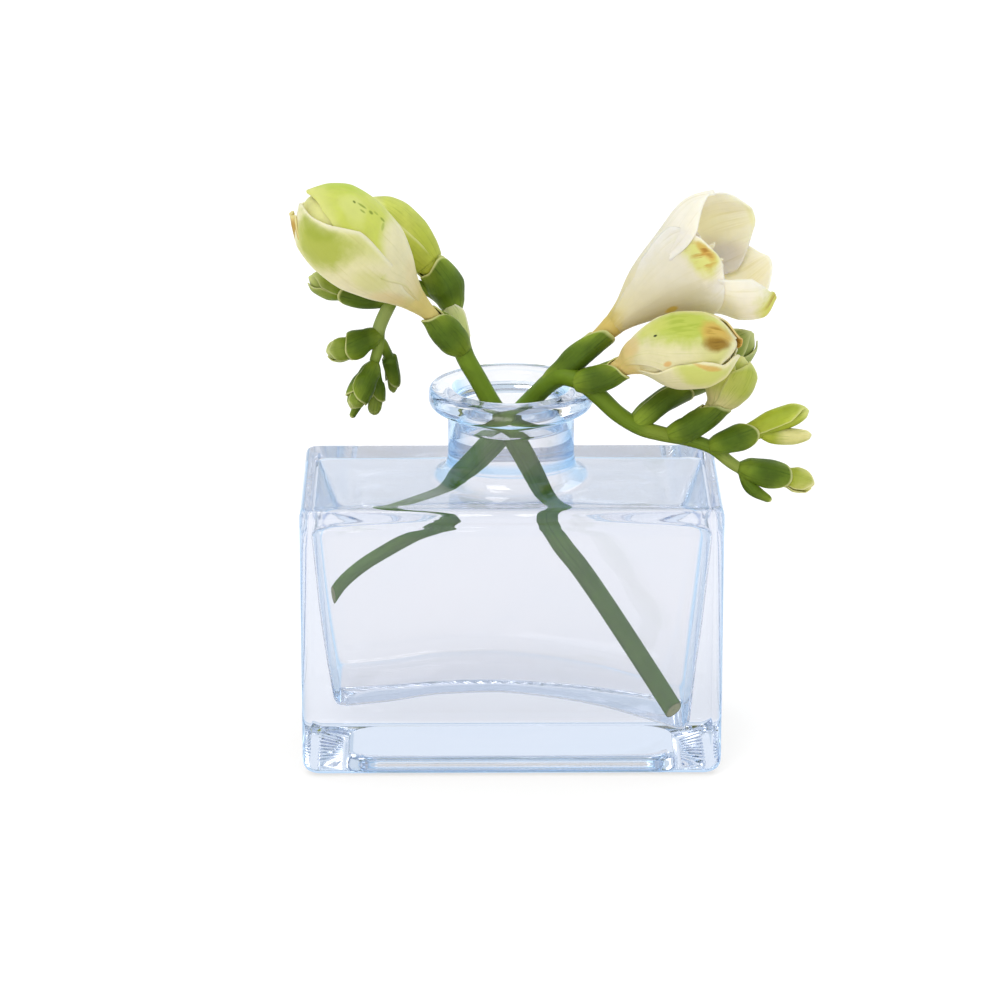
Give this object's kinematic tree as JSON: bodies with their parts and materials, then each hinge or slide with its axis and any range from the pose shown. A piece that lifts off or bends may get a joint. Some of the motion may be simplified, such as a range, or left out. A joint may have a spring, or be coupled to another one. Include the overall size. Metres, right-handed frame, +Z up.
{
  "type": "freesia in bud vase",
  "caption": "Cut freesia stems with buds and open flowers standing in a flat clear glass bottle filled with water.",
  "frame": {"origin": "middle of the box around the whole, on the ground under the bottle", "axes": "+Z up along the bottle's neck, -Y towards the viewer from the bottle's broad front, X along its broad side; the bottle's own axis stands at about x = -9.3 mm"},
  "size_m": [0.1258, 0.0524, 0.1412],
  "materials": {
    "bottle": "clear, faintly blue pressed glass",
    "water": "clear water",
    "left_stem": "semi-matt green skin",
    "right_stem": "semi-matt green skin",
    "left_flower": "soft waxy petal",
    "left_second_bud": "soft waxy petal",
    "left_third_bud": "soft waxy bud",
    "left_fourth_bud": "soft waxy bud",
    "left_fifth_bud": "soft waxy bud",
    "left_sixth_bud": "soft waxy bud",
    "left_seventh_bud": "soft waxy bud",
    "right_flower": "soft white petal",
    "right_second_flower": "soft waxy petal",
    "right_third_bud": "soft waxy bud",
    "right_fourth_bud": "soft waxy bud",
    "right_fifth_bud": "soft waxy bud",
    "right_sixth_bud": "soft waxy bud",
    "stamens": "soft matt"
  },
  "bodies": {
    "root": {"bottle": "bottle", "water": "water", "left_stem": "left_stem", "right_stem": "right_stem", "left_flower": "left_flower", "left_second_bud": "left_second_bud", "left_third_bud": "left_third_bud", "left_fourth_bud": "left_fourth_bud", "left_fifth_bud": "left_fifth_bud", "left_sixth_bud": "left_sixth_bud", "left_seventh_bud": "left_seventh_bud", "right_flower": "right_flower", "right_second_flower": "right_second_flower", "right_third_bud": "right_third_bud", "right_fourth_bud": "right_fourth_bud", "right_fifth_bud": "right_fifth_bud", "right_sixth_bud": "right_sixth_bud", "stamens": "stamens"}
  },
  "joints": []
}
